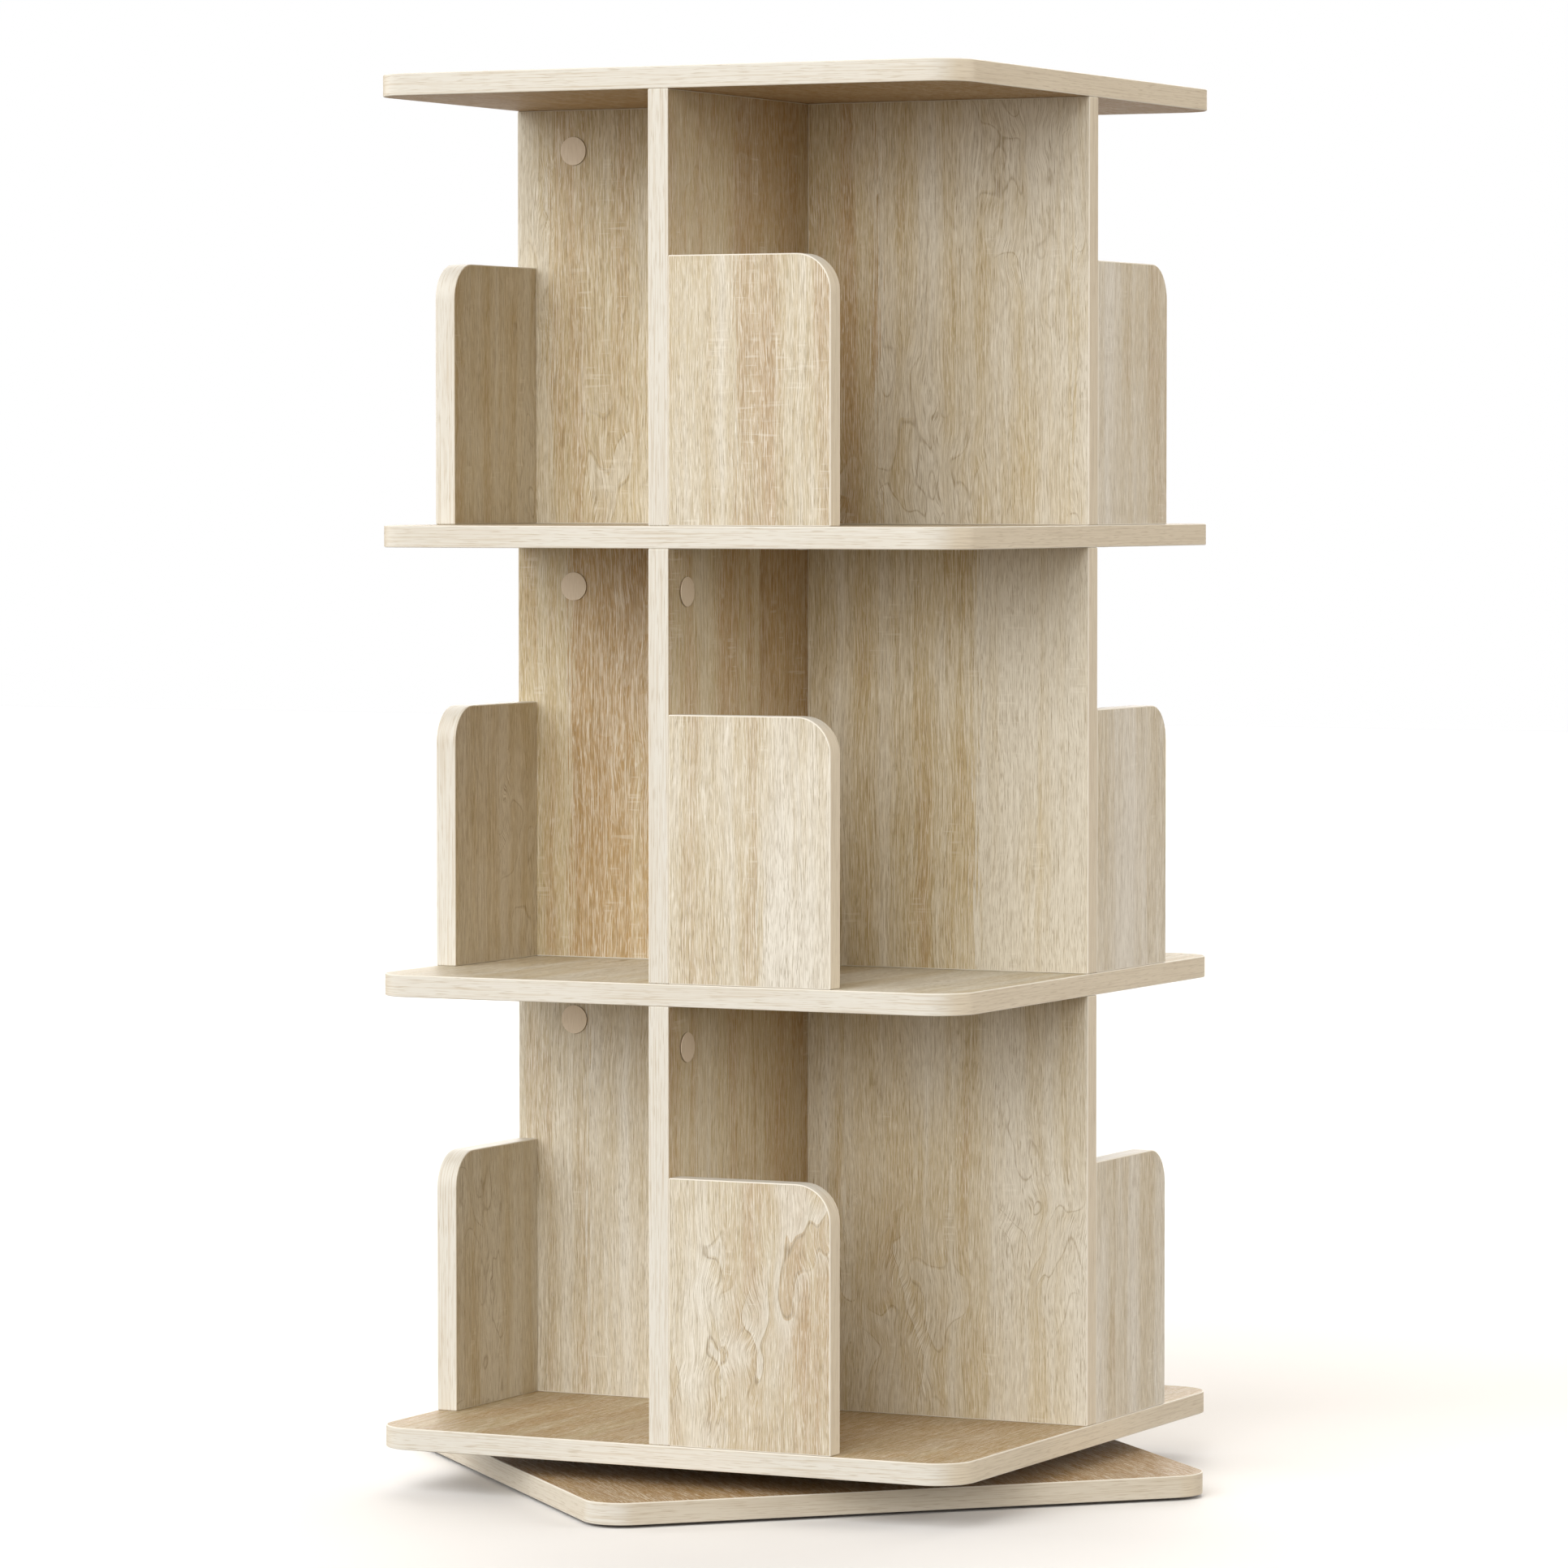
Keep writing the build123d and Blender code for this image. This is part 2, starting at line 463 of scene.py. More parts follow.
        lime = group.total(group.spread(read(self.bands, grain), *self.band_lime),
                           group.spread(tone, *self.plank_lime),
                           group.swing(read(self.streaks, grain), group.spread(figure, *self.streak_lime)),
                           group.swing(read(self.clouds, across), self.cloud_lime),
                           given["Lime"])
        color = group.stain(self.umber, lime, self.to_honey, self.honey)
        color = group.stain(color, lime, self.to_tan, self.tan)
        color = group.stain(color, lime, self.to_limed, self.limed)

        rings = group.math("FRACT", group.math("MULTIPLY", swirl, self.ring_count))
        color = group.stain(color, rings, self.ring_fill, self.limed, figure)
        contour = group.math("ABSOLUTE", group.math("SUBTRACT", rings, self.ring_edge))
        color = group.stain(color, contour, self.ring_line, self.pore_dark, figure)

        fibre = read(self.fibre, grain)
        color = group.stain(color, fibre, self.fibre_light, self.pore_light)
        color = group.stain(color, fibre, self.fibre_dark, self.pore_dark)
        hair = read(self.hair, grain)
        color = group.stain(color, hair, self.hair_light, self.pore_light)
        color = group.stain(color, hair, self.hair_dark, self.pore_dark)

        crowd = group.step(read(self.crowd, grain), *self.crowd_range)
        pores = read(self.pores, grain)
        dark = group.math("MULTIPLY", group.step(pores, self.open_pore.start, self.open_pore.full), crowd)
        color = group.mix(group.math("MULTIPLY", dark, self.open_pore.strength), color, self.pore_dark)
        filled = group.spread(crowd, *self.filled_share)
        color = group.stain(color, pores, self.filled_pore, self.pore_light, filled)

        sawn = group.total(read(self.strip, across), group.spread(given["Sawn"], *self.strip_shift))
        patch = group.step(sawn, *self.strip_range)
        color = group.stain(color, read(self.saw_marks, across), self.saw_stain, self.pore_light, patch)

        warmth = group.add("ShaderNodeHueSaturation")
        group.feed(warmth.inputs["Saturation"], given["Warmth"])
        group.feed(warmth.inputs["Color"], color)
        height = group.math("SUBTRACT", group.math("MULTIPLY", fibre, self.fibre_height), dark)
        roughness = group.spread(group.math("MAXIMUM", dark, fibre), *self.roughness)
        return group.close(Color=warmth.outputs["Color"], Roughness=roughness, Height=height)


@dataclass(frozen=True)
class EdgeBand:
    """The pale band round the boards: fine streaks, paler trimmed arrises with a painted highlight, and a
    painted reflection on front and back edges.
    """

    cream_with_reflection: Color = (0.643, 0.622, 0.562, 1.0)
    warm: Color = (0.635, 0.565, 0.440, 1.0)
    streak: Color = (0.505, 0.430, 0.320, 1.0)
    arris: Color = (0.760, 0.720, 0.635, 1.0)
    dash: Color = (0.400, 0.320, 0.215, 1.0)
    streaks: Layer = Layer(0.075, 0.0011, 2.0, 2.5)
    streak_stain: Stain = Stain(0.46, 0.70, 0.62)
    dashes: Layer = Layer(0.016, 0.0007, 4.0, 1.0)
    dash_stain: Stain = Stain(0.56, 0.70, 0.50)
    clouds: Layer = Layer(0.22, 0.02, 6.0)
    cloud_stain: Stain = Stain(0.48, 0.75, 0.22)
    trim_and_highlight: Stain = Stain(0.0066, 0.0072, 0.85)
    roughness: Point = (0.42, 0.55)
    streak_height: float = 0.6

    def group(self) -> bpy.types.NodeTree:
        """Build the band as a node group from a point with the band's length along X and its middle at Y 0.

        Returns:
            The group, which gives colour, roughness and height.
        """
        group = Group("edge_band", {"Vector": VECTOR, "Warmth": VALUE}, SURFACE_OUTPUTS)
        along, across = group.split(group.given["Vector"])
        streaks = group.layer(self.streaks, along, across)
        # Painted reflection: edges facing front or back take the paler cream, edges facing the sides the warm
        # tone.
        color = group.mix(group.given["Warmth"], self.cream_with_reflection, self.warm)
        color = group.stain(color, streaks, self.streak_stain, self.streak)
        color = group.stain(color, group.layer(self.dashes, along, across), self.dash_stain, self.dash)
        color = group.stain(color, group.layer(self.clouds, along, across), self.cloud_stain, self.streak)
        # Paler arrises: partly the trimmed band's own edge, partly a painted highlight.
        color = group.stain(color, group.math("ABSOLUTE", across), self.trim_and_highlight, self.arris)
        return group.close(Color=color, Roughness=group.spread(streaks, *self.roughness),
                           Height=group.math("MULTIPLY", streaks, self.streak_height))


@dataclass(frozen=True)
class CapFoil:
    """The printed foil of the cam caps: plain oak tone with fine dashes, a little pinker than the boards."""

    base: Color = (0.680, 0.580, 0.450, 1.0)
    dash: Color = (0.545, 0.445, 0.325, 1.0)
    pale: Color = (0.760, 0.680, 0.560, 1.0)
    dashes: Layer = Layer(0.009, 0.0007, 3.0)
    dark_stain: Stain = Stain(0.52, 0.70, 0.45)
    pale_stain: Stain = Stain(0.46, 0.28, 0.50)
    roughness: Point = (0.45, 0.60)

    def group(self) -> bpy.types.NodeTree:
        """Build the foil as a node group from a point with the grain along X.

        Returns:
            The group, which gives colour, roughness and height.
        """
        group = Group("cap_print", {"Vector": VECTOR}, SURFACE_OUTPUTS)
        along, across = group.split(group.given["Vector"])
        dashes = group.layer(self.dashes, along, across)
        color = group.stain(self.base, dashes, self.dark_stain, self.dash)
        color = group.stain(color, dashes, self.pale_stain, self.pale)
        return group.close(Color=color, Roughness=group.spread(dashes, *self.roughness), Height=dashes)


@dataclass(frozen=True)
class FineGrain:
    """The fine unevenness that the metal, nylon and felt share: a mottle, and cells like zinc spangle."""

    detail: float = 4.0
    roughness: float = 0.6
    mottle_range: Point = (0.25, 0.75)
    cell_scale: float = 0.35

    def group(self) -> bpy.types.NodeTree:
        """Build the unevenness as a node group.

        Returns:
            The group, which gives a mottle and a cell tone, both from 0 to 1.
        """
        group = Group("fine_grain", {"Vector": VECTOR, "Scale": VALUE}, {"Mottle": VALUE, "Cells": VALUE})
        scaled = group.add("ShaderNodeVectorMath", operation="SCALE")
        group.feed(scaled.inputs[0], group.given["Vector"])
        group.feed(scaled.inputs["Scale"], group.given["Scale"])
        mottle = group.noise(scaled.outputs[0], self.detail, self.roughness)
        cells = group.add("ShaderNodeTexVoronoi")
        group.feed(cells.inputs["Vector"], scaled.outputs[0])
        cells.inputs["Scale"].default_value = self.cell_scale
        tone, _ = group.split(cells.outputs["Color"], "ShaderNodeSeparateColor")
        return group.close(Mottle=group.step(mottle, *self.mottle_range), Cells=tone)


@dataclass(frozen=True)
class PlainFinish:
    """A finish of one stuff: its two tones, its gloss and how its fine grain shows."""

    name: str
    dark: Color
    pale: Color
    roughness: Point
    metallic: float
    scale: float
    relief: float
    grain: str = "Mottle"
    sheen: float = 0.0

    def material(self, group: bpy.types.NodeTree) -> bpy.types.Material:
        """Make the material with the shared fine grain.

        Args:
            group: the fine grain.

        Returns:
            The material.
        """
        material, graph, shader = start_material(self.name)
        surface = graph.add("ShaderNodeGroup", node_tree=group)
        graph.feed(surface.inputs["Vector"], graph.add("ShaderNodeTexCoord").outputs["Object"])
        surface.inputs["Scale"].default_value = self.scale
        tone = surface.outputs[self.grain]
        graph.feed(shader.inputs["Base Color"], graph.mix(tone, self.dark, self.pale))
        graph.feed(shader.inputs["Roughness"], graph.spread(tone, *self.roughness))
        graph.relief(shader, surface.outputs["Mottle"], self.relief)
        shader.inputs["Metallic"].default_value = self.metallic
        shader.inputs["Sheen Weight"].default_value = self.sheen
        return material


class Hardware:
    """The finishes of the fittings, by the record's slots."""

    def __init__(self) -> None:
        """Build the shared grain once and a material for each slot."""
        group = FineGrain().group()
        finishes = {
            Slot.ZINC: PlainFinish(
                "cast_zinc", dark=(0.36, 0.36, 0.37, 1.0), pale=(0.52, 0.52, 0.53, 1.0),
                roughness=(0.34, 0.50), metallic=1.0, scale=900.0, relief=0.00004),
            Slot.PLATE: PlainFinish(
                "galvanised_plate", dark=(0.42, 0.43, 0.44, 1.0), pale=(0.62, 0.63, 0.64, 1.0),
                roughness=(0.28, 0.46), metallic=1.0, scale=260.0, relief=0.00002, grain="Cells"),
            Slot.RIVET: PlainFinish(
                "bright_steel", dark=(0.50, 0.50, 0.50, 1.0), pale=(0.66, 0.66, 0.67, 1.0),
                roughness=(0.18, 0.32), metallic=1.0, scale=700.0, relief=0.00002),
            Slot.NYLON: PlainFinish(
                "white_nylon", dark=(0.62, 0.61, 0.57, 1.0), pale=(0.70, 0.69, 0.65, 1.0),
                roughness=(0.38, 0.52), metallic=0.0, scale=500.0, relief=0.00003),
            Slot.FELT: PlainFinish(
                "grey_felt", dark=(0.10, 0.085, 0.07, 1.0), pale=(0.24, 0.21, 0.175, 1.0),
                roughness=(0.88, 0.97), metallic=0.0, scale=2400.0, relief=0.0003, sheen=0.3),
        }
        self.by_slot = {slot: finish.material(group) for slot, finish in finishes.items()}

    def dress(self, node: str, slot: Slot) -> None:
        """Give a carried-over node the finish of its slot.

        Args:
            node: the node.
            slot: the slot.
        """
        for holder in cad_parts[node].material_slots:
            holder.material = self.by_slot[slot]
        LOG.info("dressed %s", node)


class Cut(Enum):
    """The part of the print that a panel is cut from, with its figure, saw marks, lime and warmth. The dark
    and honey cuts also carry painted shade.
    """

    FIGURED = (1.0, 0.0, -0.03, 0.92)
    CROWNED = (0.75, 0.45, 0.05, 1.10)
    SAWN = (0.05, 1.0, 0.0, 0.94)
    LIMED = (0.10, 0.30, 0.07, 0.92)
    STREAKED = (0.0, 0.75, 0.14, 1.18)
    # Part darker print, part painted shade: this cut is darkened and warmed for panels that sit in the
    # tower's shade.
    DARK = (0.25, 0.40, -0.14, 1.17)
    # Painted shade: this darkest, warmest cut stands for the shade on the base board under the tower and
    # under the top board.
    HONEY = (0.20, 0.30, -0.60, 1.28)


@dataclass(frozen=True)
class GrainSurface:
    """A surface whose colour, roughness and relief come from a group that reads the grain map."""

    name: str
    group: bpy.types.NodeTree
    relief: float
    specular: float
    relief_strength: float = 0.6

    def material(self) -> bpy.types.Material:
        """Make the material with its group in place.

        Returns:
            The material.
        """
        material, graph, shader = start_material(self.name)
        where = graph.add("ShaderNodeUVMap", uv_map=GRAIN_MAP)
        surface = graph.add("ShaderNodeGroup", node_tree=self.group, name=SURFACE_NODE)
        graph.feed(surface.inputs["Vector"], where.outputs["UV"])
        graph.feed(shader.inputs["Base Color"], surface.outputs["Color"])
        graph.feed(shader.inputs["Roughness"], surface.outputs["Roughness"])
        graph.relief(shader, surface.outputs["Height"], self.relief, self.relief_strength)
        shader.inputs["Specular IOR Level"].default_value = self.specular
        return material


class Laminate:
    """The finishes of the panels and caps: the oak print in each cut, the edge band, and the caps' foil."""

    painted_reflection_fade: Point = (0.35, 0.98)

    def __init__(self) -> None:
        """Build the groups once and a material for each use of them."""
        oak = OakPrint().group()
        self.faces = {cut: self.face(oak, cut) for cut in Cut}
        self.band = self.edge(EdgeBand().group())
        self.cap = GrainSurface("cap_foil", CapFoil().group(), relief=0.00004, specular=0.40).material()
        # Dark cap rims and backs: partly the foil's raw edge, partly a painted contact shadow round each cap.
        rim = CapFoil(base=(0.26, 0.19, 0.125, 1.0), dash=(0.18, 0.13, 0.085, 1.0),
                      pale=(0.33, 0.25, 0.17, 1.0))
        self.cap_rim_edge_and_shadow = GrainSurface("cap_rim_edge_and_shadow", rim.group(), relief=0.00004, specular=0.30).material()

    def face(self, group: bpy.types.NodeTree, cut: Cut) -> bpy.types.Material:
        """Make the material of one cut.

        Args:
            group: the oak print.
            cut: the part of the print.

        Returns:
            The material.
        """
        name = "oak_face_" + cut.name.lower()
        material = GrainSurface(name, group, relief=0.0002, specular=0.35).material()
        surface = material.node_tree.nodes[SURFACE_NODE]
        for socket, value in zip(CUT_INPUTS, cut.value):
            surface.inputs[socket].default_value = value
        return material

    def edge(self, group: bpy.types.NodeTree) -> bpy.types.Material:
        """Make the material of the edge band, whose front and back edges get a paler painted reflection, set
        by which way each edge faces.

        Args:
            group: the edge band.

        Returns:
            The material.
        """
        material = GrainSurface("oak_edge_band", group, relief=0.00005, specular=0.40).material()
        graph = Graph(material.node_tree)
        sideways, _ = graph.split(graph.add("ShaderNodeTexCoord").outputs["Normal"])
        # Painted reflection: the share of warm side tone grows as the edge turns to face the sides.
        warmth = graph.step(graph.math("ABSOLUTE", sideways), *self.painted_reflection_fade)
        graph.feed(material.node_tree.nodes[SURFACE_NODE].inputs["Warmth"], warmth)
        return material


def put(name: str, data: bpy.types.ID) -> bpy.types.Object:
    """Put a new object in the scene.

    Args:
        name: the object's name.
        data: its mesh, light or camera.

    Returns:
        The object.
    """
    thing = bpy.data.objects.new(name, data)
    bpy.context.scene.collection.objects.link(thing)
    return thing


def add_piece(name: str, mesh: bmesh.types.BMesh, finishes: list[bpy.types.Material], body: Body, slot: Slot,
              *replaced: str) -> bpy.types.Object:
    """Turn a built mesh into a piece of the model.

    Args:
        name: the piece's name.
        mesh: its mesh, which is freed.
        finishes: its materials.
        body: the body that it rides on.
        slot: the record's slot of its finish. Not used.
        replaced: the nodes that it stands for.

    Returns:
        The new piece.
    """
    bmesh.ops.recalc_face_normals(mesh, faces=mesh.faces)
    data = bpy.data.meshes.new(name)
    mesh.to_mesh(data)
    mesh.free()
    for finish in finishes:
        data.materials.append(finish)
    piece = put(name, data)
    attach(piece, body.value)
    if replaced:
        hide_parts(*replaced)
    LOG.info("piece %s", name)
    return piece


@dataclass(frozen=True)
class Outline:
    """A rectangle in a panel's own plane with a radius at each corner, anticlockwise from the low corner."""

    low: Point
    high: Point
    radii: tuple[float, float, float, float]
    steps: int = 10

    def points(self, inset: float) -> list[Point]:
        """List the points round the outline, drawn in by an inset.

        Args:
            inset: how far the outline is drawn in.

        Returns:
            The points, anticlockwise.
        """
        (x0, y0), (x1, y1) = self.low, self.high
        corners = ((x0, y0, 1, 1, 180), (x1, y0, -1, 1, 270), (x1, y1, -1, -1, 0), (x0, y1, 1, -1, 90))
        found = []
        for (x, y, toward_x, toward_y, start), radius in zip(corners, self.radii):
            middle_x = x + toward_x * radius
            middle_y = y + toward_y * radius
            reach = radius - inset
            for step in range(self.steps + 1):
                angle = math.radians(start + 90 * step / self.steps)
                found.append((middle_x + reach * math.cos(angle), middle_y + reach * math.sin(angle)))
        return found


def running_lengths(points: list[Point]) -> list[float]:
    """Measure how far each point lies along the line through all of them.

    Args:
        points: the points in order.

    Returns:
        The length from the first point to each one.
    """
    lengths = [0.0]
    for first, second in zip(points, points[1:]):
        lengths.append(lengths[-1] + math.dist(first, second))
    return lengths


@dataclass
class Panel:
    """A board, upright or stop: a flat slab with rounded arrises, printed faces and a banded rim.

    The slab's plane has its own axes: across and along, with the grain along, and the thickness on the
    third axis.
    """

    node: str
    outline: Outline
    thickness: float
    place: Matrix
    body: Body
    print_offset: Point
    cut: Cut
    underside: Cut
    arris: float = 0.0008
    arris_steps: int = 3

    def profile(self) -> list[Point]:
        """List inset and height from one face of the slab to the other."""
        quarter = [math.radians(90 * step / self.arris_steps) for step in range(self.arris_steps + 1)]
        rising = [(self.arris * (1 - math.sin(a)), self.arris * (1 - math.cos(a))) for a in quarter]
        return rising + [(inset, self.thickness - height) for inset, height in reversed(rising)]

    def build(self, laminate: Laminate) -> None:
        """Build the slab with its grain map and put it in the place of its node.

        Args:
            laminate: the finishes of the broad faces and the rim.
        """
        finishes = [laminate.faces[self.cut], laminate.band, laminate.faces[self.underside]]
        face, band, underside = range(len(finishes))
        mesh = bmesh.new()
        grain = mesh.loops.layers.uv.new(GRAIN_MAP)
        profile = self.profile()
        rings = [[mesh.verts.new((x, y, height)) for x, y in self.outline.points(inset)]
                 for inset, height in profile]
        rim = self.outline.points(0.0)
        lengths = running_lengths(rim + rim[:1])
        heights = running_lengths(profile)
        middle = heights[-1] / 2
        shift_along, shift_across = self.print_offset
        for level, (lower, upper) in enumerate(zip(rings, rings[1:])):
            for index in range(len(rim)):
                after = (index + 1) % len(rim)
                quad = mesh.faces.new((lower[index], lower[after], upper[after], upper[index]))
                quad.material_index = band
                corners = ((index, level), (index + 1, level), (index + 1, level + 1), (index, level + 1))
                for loop, (step, row) in zip(quad.loops, corners):
                    loop[grain].uv = (lengths[step] + shift_along, heights[row] - middle)
        for finish, ring in ((underside, list(reversed(rings[0]))), (face, rings[-1])):
            flat = mesh.faces.new(ring)
            flat.material_index = finish
            for loop in flat.loops:
                loop[grain].uv = (loop.vert.co.y + shift_along, loop.vert.co.x + shift_across)
        for polygon in mesh.faces:
            polygon.smooth = True
        mesh.transform(self.place)
        piece = add_piece(self.node + "_look", mesh, finishes, self.body, Slot.OAK, self.node)
        weigh = piece.modifiers.new("even_shading", "WEIGHTED_NORMAL")
        weigh.keep_sharp = True


def axes(origin: Vector, across: Vector, along: Vector) -> Matrix:
    """Make the matrix that places a panel's plane.

    Args:
        origin: where the plane's own origin goes.
        across: the plane's first axis.
        along: the plane's second axis, which the grain follows.

    Returns:
        The placing matrix, with the thickness on the third axis.
    """
    through = across.cross(along)
    rotation = Matrix((across, along, through)).transposed()
    return Matrix.Translation(origin) @ rotation.to_4x4()


@dataclass
class Tower:
    """The boards, uprights and stops of the tower, and the base board of the same size under it."""

    laminate: Laminate
    corner_radius: float = 0.027
    square_corner: float = 0.001
    square_corner_steps: int = 3
    stop_corner_radius: float = 0.025
    base_turn: float = math.radians(45)
    stretch_step: Point = (1.37, 0.613)
    cuts: dict[str, tuple[Cut, int]] = field(default_factory=lambda: {
        "upper_front_stop": (Cut.SAWN, 22),
        "middle_front_stop": (Cut.LIMED, 54),
        "lower_front_stop": (Cut.FIGURED, 20),
        "upper_right_wing_panel": (Cut.CROWNED, 90),
        "middle_right_wing_panel": (Cut.STREAKED, 63),
        "lower_right_wing_panel": (Cut.CROWNED, 13),
        "upper_left_wing_panel": (Cut.CROWNED, 82),
        # Part print, part painted shade: the middle left wing takes the dark cut, which darkens it as if
        # under the shelf's shadow.
        "middle_left_wing_panel": (Cut.DARK, 33),
        "lower_left_wing_panel": (Cut.LIMED, 66),
        # Part print, part painted shade: the spines take the dark cut, which darkens their faces in the inner
        # corners.
        "upper_spine_panel": (Cut.DARK, 18),
        "middle_spine_panel": (Cut.DARK, 10),
        "lower_spine_panel": (Cut.DARK, 1),
        "upper_right_stop": (Cut.LIMED, 3),
        "middle_right_stop": (Cut.LIMED, 47),
        "lower_right_stop": (Cut.LIMED, 15),
        # Part print, part painted shade: the left stops take the warmer crowned cut, which darkens and warms
        # their shaded inner faces.
        "upper_left_stop": (Cut.CROWNED, 25),
        "middle_left_stop": (Cut.CROWNED, 26),
        "lower_left_stop": (Cut.CROWNED, 27),
        "upper_back_stop": (Cut.FIGURED, 6),
        "middle_back_stop": (Cut.SAWN, 34),
        "lower_back_stop": (Cut.LIMED, 49),
        "top_board": (Cut.CROWNED, 75),
        "upper_shelf": (Cut.SAWN, 76),
        "lower_shelf": (Cut.CROWNED, 77),
        # Part print, part painted shade: the bottom board takes the dark cut, which darkens its top as if
        # shaded.
        "bottom_board": (Cut.DARK, 78),
        # Painted shade: the base board takes the darkest cut, which stands for the tower's shadow on it.
        "base_board": (Cut.HONEY, 79),
    })
    # Painted shade: the top board's underside takes the darker honey cut, which stands for the shade under
    # it.
    painted_shade_undersides: dict[str, Cut] = field(default_factory=lambda: {"top_board": Cut.HONEY})

    def panel(self, node: str, outline: Outline, thickness: float, place: Matrix,
              body: Body = Body.TOWER) -> None:
        """Build a panel in its own cut and stretch of the print.

        Args:
            node: the panel's node.
            outline: its outline in its own plane.
            thickness: its thickness.
            place: the matrix that places it.
            body: the body that it rides on.
        """
        cut, number = self.cuts[node]
        step_along, step_across = self.stretch_step
        offset = (step_along * number, step_across * number)
        underside = self.painted_shade_undersides.get(node, cut)
        Panel(node, outline, thickness, place, body, offset, cut, underside).build(self.laminate)

    def board(self, node: str, body: Body, turn: float = 0.0, side: float | None = None) -> None:
        """Build a square board.

        Args:
            node: the board's node.
            body: the body that it rides on.
            turn: its turn about the tower's axis in radians.
            side: its side, where the node's box doesn't give it.
        """
        low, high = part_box(node)
        half = (side or high.x - low.x) / 2
        outline = Outline((-half, -half), (half, half), (self.corner_radius,) * 4)
        across = Vector((math.cos(turn), math.sin(turn), 0.0))
        along = Vector((-math.sin(turn), math.cos(turn), 0.0))
        self.panel(node, outline, high.z - low.z, axes(Vector((0.0, 0.0, low.z)), across, along), body)

    def upright(self, node: str) -> None:
        """Build a spine or a wing from its node's box.

        Args:
            node: the upright's node.
        """
        low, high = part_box(node)
        size = high - low
        if size.x < size.y:
            place = axes(low, Vector((0, 1, 0)), UP)
            length, thickness = size.y, size.x
        else:
            place = axes(Vector((low.x, high.y, low.z)), Vector((1, 0, 0)), UP)
            length, thickness = size.x, size.y
        outline = Outline((0.0, 0.0), (length, size.z), (self.square_corner,) * 4, self.square_corner_steps)
        self.panel(node, outline, thickness, place)

    def stop(self, node: str, side: Side) -> None:
        """Build a book stop, with its upper outer corner rounded.

        Args:
            node: the stop's node.
            side: the side of the tower that it stands on.
        """
        low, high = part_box(node)
        size = high - low
        turn = math.radians(side.value)
        across = Vector((round(math.cos(turn)), round(math.sin(turn)), 0.0))
        outward = Vector((round(math.sin(turn)), -round(math.cos(turn)), 0.0))
        length = abs(size.dot(across))
        thickness = abs(size.dot(outward))
        origin = (low + high) / 2 - across * length / 2 - outward * thickness / 2
        origin.z = low.z
        small = self.square_corner
        outline = Outline((0.0, 0.0), (length, size.z), (small, small, self.stop_corner_radius, small))
        self.panel(node, outline, thickness, axes(origin, across, UP))

    def build(self) -> None:
        """Build every board, upright and stop."""
        for node in ("top_board", "upper_shelf", "lower_shelf", "bottom_board"):
            self.board(node, Body.TOWER)
        low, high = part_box("bottom_board")
        self.board("base_board", Body.BASE, self.base_turn, high.x - low.x)
        for tier in Tier:
            for upright in ("spine", "right_wing", "left_wing"):
                self.upright(f"{tier.value}_{upright}_panel")
            for side in Side:
                self.stop(f"{tier.value}_{side.name.lower()}_stop", side)


def lathe(mesh: bmesh.types.BMesh, profile: list[Point], steps: int, place: Matrix,
          grain: bmesh.types.BMLayerItem | None = None, finish: int = 0) -> None:
    """Turn a profile round the third axis of a place.

    Args:
        mesh: the mesh to add to.
        profile: radius and height from one end to the other; a radius of 0 is a pole.
        steps: steps round the axis.
        place: the matrix that places the turned form.
        grain: the map to fill with the form's own coordinates, where it has one.
        finish: the number of the material of the turned faces.
    """
    turns = [math.tau * step / steps for step in range(steps)]
    rings = []
    for radius, height in profile:
        points = [(radius * math.cos(a), radius * math.sin(a)) for a in turns] if radius else [(0.0, 0.0)]
        rings.append([mesh.verts.new(place @ Vector((x, y, height))) for x, y in points])
    back = place.inverted()
    for lower, upper in zip(rings, rings[1:]):
        for step in range(steps):
            after = (step + 1) % steps
            if len(lower) == 1:
                corners = (lower[0], upper[after], upper[step])
            elif len(upper) == 1:
                corners = (lower[step], lower[after], upper[0])
            else:
                corners = (lower[step], lower[after], upper[after], upper[step])
            side = mesh.faces.new(corners)
            side.smooth = True
            side.material_index = finish
            if grain:
                for loop in side.loops:
                    own = back @ loop.vert.co
                    loop[grain].uv = (own.y + place.translation.z, own.x + place.translation.z)


